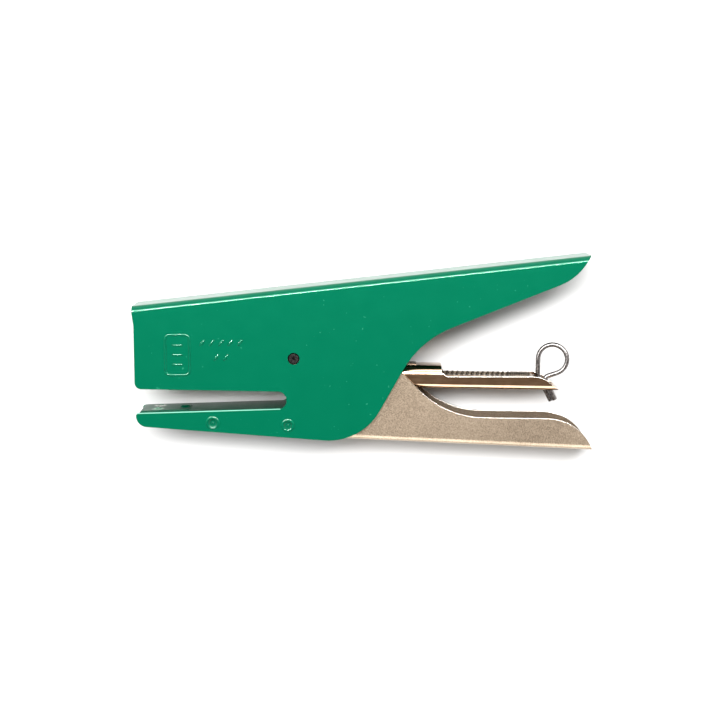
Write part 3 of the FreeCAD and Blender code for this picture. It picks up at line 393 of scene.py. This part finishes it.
def tube(points, radius, sides):
    """Vertices and faces of a round tube with closed ends along a list of points."""
    vertices, faces = [], []
    up = Vector((0, 0, 1))
    for index, point in enumerate(points):
        ahead = points[min(index + 1, len(points) - 1)] - points[max(index - 1, 0)]
        ahead.normalize()
        side = ahead.cross(up)
        if side.length < 0.1:
            side = ahead.cross(Vector((0, 1, 0)))
        side.normalize()
        up = side.cross(ahead).normalized()
        for turn in range(sides):
            angle = 2 * math.pi * turn / sides
            vertices.append(point + side * radius * math.cos(angle) + up * radius * math.sin(angle))
    for index in range(len(points) - 1):
        for turn in range(sides):
            after = (turn + 1) % sides
            a, b = index * sides + turn, index * sides + after
            faces.append((a, b, b + sides, a + sides))
    faces.append(tuple(range(sides))[::-1])
    last = (len(points) - 1) * sides
    faces.append(tuple(range(last, last + sides)))
    return vertices, faces


def coil_line(start, along, radius, length, pitch_at):
    """Points of a helix from start; pitch_at gives the pitch at a distance run along it."""
    over = Vector((-along.y, along.x, 0))
    side = Vector((0, 0, 1))
    steps_per_turn = 16
    points, run, angle = [], 0.0, 0.0
    while run < length:
        swing = (over * math.cos(angle) + side * math.sin(angle)) * radius
        points.append(start + along * run + swing)
        angle += 2 * math.pi / steps_per_turn
        run += pitch_at(run) / steps_per_turn
    return points


def pusher_coil(material):
    """The long spring as a real coil, closed at both ends, inside the CAD tube's box."""
    low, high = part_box("pusher_spring")
    wire = 0.25 * MM
    outer = (high.z - low.z) / 2
    length = (high.x - low.x) / MAGAZINE_AXIS.x - 2 * outer * abs(MAGAZINE_AXIS.y)
    usable = length - 2 * wire
    start = (low + high) / 2 - MAGAZINE_AXIS * (usable / 2)
    open_pitch, closed_pitch = 1.75 * MM, 0.62 * MM
    closed_front, closed_rear = 2 * MM, 7 * MM

    def pitch_at(run):
        return open_pitch if closed_front <= run <= usable - closed_rear else closed_pitch

    line = coil_line(start, MAGAZINE_AXIS, outer - wire, usable, pitch_at)
    vertices, faces = tube(line, wire, 8)
    coil = add_mesh("pusher_coil", vertices, faces, material, "magazine")
    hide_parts("pusher_spring")
    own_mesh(coil)


def handle_coil(material):
    """The spring between the handles, as a coil of wire inside the CAD spring's box."""
    low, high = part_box("return_spring")
    wire, outer, pitch = 0.4 * MM, 3.0 * MM, 2.6 * MM
    down = Vector((math.sin(SPINE_ANGLE), -math.cos(SPINE_ANGLE), 0))
    length = ((high.y - low.y) - 2 * outer * math.sin(SPINE_ANGLE)) / math.cos(SPINE_ANGLE)
    usable = length - 2 * wire
    start = (low + high) / 2 - down * (usable / 2)
    line = coil_line(start, down, outer - wire, usable, lambda run: pitch)
    vertices, faces = tube(line, wire, 10)
    coil = add_mesh("handle_coil", vertices, faces, material, "frame")
    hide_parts("return_spring")
    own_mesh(coil)


def ridge(name, corners, material, closed=False, half_width=0.42, height=0.13):
    """A low rounded ridge pressed out of the near cheek; all its numbers are in mm."""
    steps, end_fade = 4, 0.3
    foot = Vector((PIVOT.x, PIVOT.y, NEAR_FACE))
    line = [foot + Vector((x, y, 0)) * MM for x, y in corners]
    vertices, faces = [], []
    for index, point in enumerate(line):
        ahead = line[(index + 1) % len(line)] if closed or index + 1 < len(line) else point
        behind = line[index - 1] if closed or index else point
        side = (ahead - behind).normalized().cross(Vector((0, 0, 1)))
        fade = 1.0 if closed or 0 < index < len(line) - 1 else end_fade
        for step in range(-steps, steps + 1):
            across = step / steps
            rise = height * fade * (1 - across * across)
            reach = side * half_width * fade * across * MM
            vertices.append(point + reach + Vector((0, 0, rise * MM)))
        vertices.append(point - Vector((0, 0, MARK_SINK)))
    ring = 2 * steps + 2
    for index in range(len(line) if closed else len(line) - 1):
        here, after = index * ring, (index + 1) % len(line) * ring
        for step in range(ring):
            beside = (step + 1) % ring
            faces.append((here + step, after + step, after + beside, here + beside))
    if not closed:
        faces.append(tuple(range(ring)))
        faces.append(tuple(range(len(vertices) - ring, len(vertices)))[::-1])
    add_mesh(name, vertices, faces, material, "frame")


def dash(name, start, end, material):
    """A short straight ridge that fades at both ends."""
    line = [tuple(a + (b - a) * part for a, b in zip(start, end)) for part in (0, 0.15, 0.85, 1)]
    ridge(name, line, material)


def rounded_box(left, low, right, high, corner):
    """Corners of a rectangle with round corners, in mm."""
    steps = 6
    outline = []
    for x, y, start in ((right - corner, high - corner, 0), (left + corner, high - corner, 90),
                        (left + corner, low + corner, 180), (right - corner, low + corner, 270)):
        for step in range(steps + 1):
            angle = math.radians(start + 90 * step / steps)
            outline.append((x + corner * math.cos(angle), y + corner * math.sin(angle)))
    return outline


def press_motif(material):
    """A plain pressed pattern on the head: a box around three bars, and two rows of dashes."""
    ridge("motif_box", rounded_box(**MOTIF_BOX), material, closed=True)
    bar_left, bar_right = MOTIF_BAR_ENDS
    for index, height in enumerate(MOTIF_BAR_HEIGHTS):
        dash(f"motif_bar_{index}", (bar_left, height), (bar_right, height), material)
    for label, count, row_left, low, high in MOTIF_ROWS:
        for index in range(count):
            left = row_left + DASH_STEP * index
            dash(f"motif_{label}_{index}", (left, low), (left + DASH_RUN, high), material)


def below_cheek(x, y, depth):
    """A point below the near cheek's face, from mm off the pivot."""
    return Vector((PIVOT.x + x * MM, PIVOT.y + y * MM, NEAR_FACE - depth))


def edge_highlight_bead(material):
    """Enamel gathered in a thin bead along the near cheek's edge above the jaw, pale as a painted
    highlight of that edge.
    """
    vertices, faces = tube([below_cheek(x, y, MARK_SINK) for x, y in BEAD_ENDS], BEAD_RADIUS, 16)
    add_mesh("jaw_edge_highlight_bead", vertices, faces, material, "frame")


def dome(foot, radius, rise):
    """Vertices and faces of a round dome with a flat foot."""
    rings, sides = 4, 16
    vertices = []
    for ring in range(rings):
        lift = math.pi / 2 * ring / rings
        out = radius * math.cos(lift)
        for turn in range(sides):
            angle = 2 * math.pi * turn / sides
            offset = (out * math.cos(angle), out * math.sin(angle), rise * math.sin(lift))
            vertices.append(foot + Vector(offset))
    vertices.append(foot + Vector((0, 0, rise)))
    faces = [(ring * sides + turn, ring * sides + (turn + 1) % sides,
              (ring + 1) * sides + (turn + 1) % sides, (ring + 1) * sides + turn)
             for ring in range(rings - 1) for turn in range(sides)]
    last, top = (rings - 1) * sides, rings * sides
    faces += [(last + turn, last + (turn + 1) % sides, top) for turn in range(sides)]
    faces.append(tuple(range(sides))[::-1])
    return vertices, faces


def weld_marks(material):
    """A small bead in the middle of each dimple on the jaw, and the swelling round its mouth."""
    turns = [math.pi * turn / 16 for turn in range(32)]
    for index, (x, y) in enumerate(DIMPLES):
        mouth = [(x + DIMPLE_RIM_RADIUS * math.cos(turn), y + DIMPLE_RIM_RADIUS * math.sin(turn))
                 for turn in turns]
        ridge(f"dimple_rim_{index}", mouth, material, closed=True, half_width=0.5, height=0.1)
        vertices, faces = dome(below_cheek(x, y, DIMPLE_DEPTH), WELD_RADIUS, WELD_RISE)
        add_mesh(f"weld_mark_{index}", vertices, faces, material, "frame")


# ---------------------------------------------------------------------------------------------
# Stage, light and camera
# ---------------------------------------------------------------------------------------------
def build_floor():
    mesh = bpy.data.meshes.new("floor")
    corners = [(x * FLOOR_REACH, y * FLOOR_REACH, 0) for x, y in ((-1, -1), (1, -1), (1, 1), (-1, 1))]
    mesh.from_pydata(corners, [], [(0, 1, 2, 3)])
    floor = bpy.data.objects.new("floor", mesh)
    SCENE.collection.objects.link(floor)
    floor.location.z = -FLOOR_DROP
    shader = Shader("white_sweep")
    shader.set(Base_Color=FLOOR_WHITE, Roughness=0.9)
    mesh.materials.append(shader.material)


def build_world():
    """A white tent, bright towards the horizon and dim overhead."""
    world = bpy.data.worlds.new("studio")
    world.use_nodes = True
    tree = world.node_tree
    place = tree.nodes.new("ShaderNodeTexCoord")
    split = tree.nodes.new("ShaderNodeSeparateXYZ")
    fade = tree.nodes.new("ShaderNodeMapRange")
    tree.links.new(place.outputs["Generated"], split.inputs["Vector"])
    tree.links.new(split.outputs["Z"], fade.inputs["Value"])
    for key, number in TENT_FADE.items():
        fade.inputs[key].default_value = number
    background = tree.nodes["Background"]
    background.inputs["Color"].default_value = TENT_COLOUR
    tree.links.new(fade.outputs["Result"], background.inputs["Strength"])
    SCENE.world = world


def add_area(name, place, size, power, colour=(1, 1, 1)):
    """An area lamp aimed at the origin; its power is in watts."""
    data = bpy.data.lights.new(name, "AREA")
    data.shape = "RECTANGLE"
    data.size, data.size_y = size
    data.energy = power
    data.color = colour
    lamp = bpy.data.objects.new(name, data)
    SCENE.collection.objects.link(lamp)
    lamp.location = place
    towards = Vector((0, 0, 0)) - lamp.location
    lamp.rotation_euler = towards.to_track_quat("-Z", "Y").to_euler()
    return lamp


def light_only(lamp, name, nodes):
    """Let a lamp reach only some CAD nodes and the pieces made of the same material."""
    group = bpy.data.collections.new(name)
    used = {NODES[node].data.materials[0] for node in nodes}
    for piece in SCENE.objects:
        if piece.type == "MESH" and piece.data.materials and piece.data.materials[0] in used:
            group.objects.link(piece)
    lamp.light_linking.receiver_collection = group


def build_lamps():
    """A soft key for everything, and lamps that give one finish or sheet its highlights."""
    enamelled = [name for name, key in NODE_MATERIALS.items() if "enamel" in key]
    bare = [name for name in NODE_MATERIALS if name not in enamelled]
    add_area("soft_key", (-0.1, 0.45, 1.0), (1.6, 0.42), 43)
    glint = add_area("glint_strip", (0, 0.27, 0.95), (1.6, 0.04), 75)
    light_only(glint, "glint_receivers", enamelled)
    overhead = add_area("metal_overhead", (0, -0.15, 1.0), (1.3, 1.0), 0.75, (1.0, 0.78, 0.6))
    light_only(overhead, "overhead_receivers", bare)
    low = add_area("low_panel", (0, -0.75, 0.55), (1.8, 0.8), 13)
    light_only(low, "low_receivers", RUBBED_NODES)
    arch = add_area("arch_panel", (0, 0.95, 0.6), (1.8, 0.3), 9)
    light_only(arch, "arch_receivers", ["magazine_channel"])
    for lamp in (glint, low, arch):
        lamp.visible_diffuse = False


def build_camera():
    data = bpy.data.cameras.new("camera")
    camera = bpy.data.objects.new("camera", data)
    SCENE.collection.objects.link(camera)
    target = Vector((PIVOT.x + 22.6 * MM, PIVOT.y - 0.4 * MM, NEAR_FACE))
    away = Vector((0, math.sin(CAMERA_LEAN), math.cos(CAMERA_LEAN)))
    camera.location = target + away * CAMERA_DISTANCE
    camera.rotation_euler = (-CAMERA_LEAN, 0, 0)
    data.sensor_fit = "HORIZONTAL"
    data.angle = 2 * math.atan(VIEW_HALF_WIDTH / CAMERA_DISTANCE)
    data.clip_start, data.clip_end = 0.01, 20
    data.dof.use_dof = False
    SCENE.camera = camera


materials = build_materials()
dress_cad_nodes(materials)
pusher_coil(materials["spring_steel"])
handle_coil(materials["spring_steel"])
press_motif(materials["enamel"])
# The jaw's edge bead, pale as a painted highlight
edge_highlight_bead(materials["edge_highlight_enamel"])
weld_marks(materials["enamel"])
build_floor()
build_world()
build_lamps()
build_camera()
SCENE.view_settings.view_transform = "Standard"
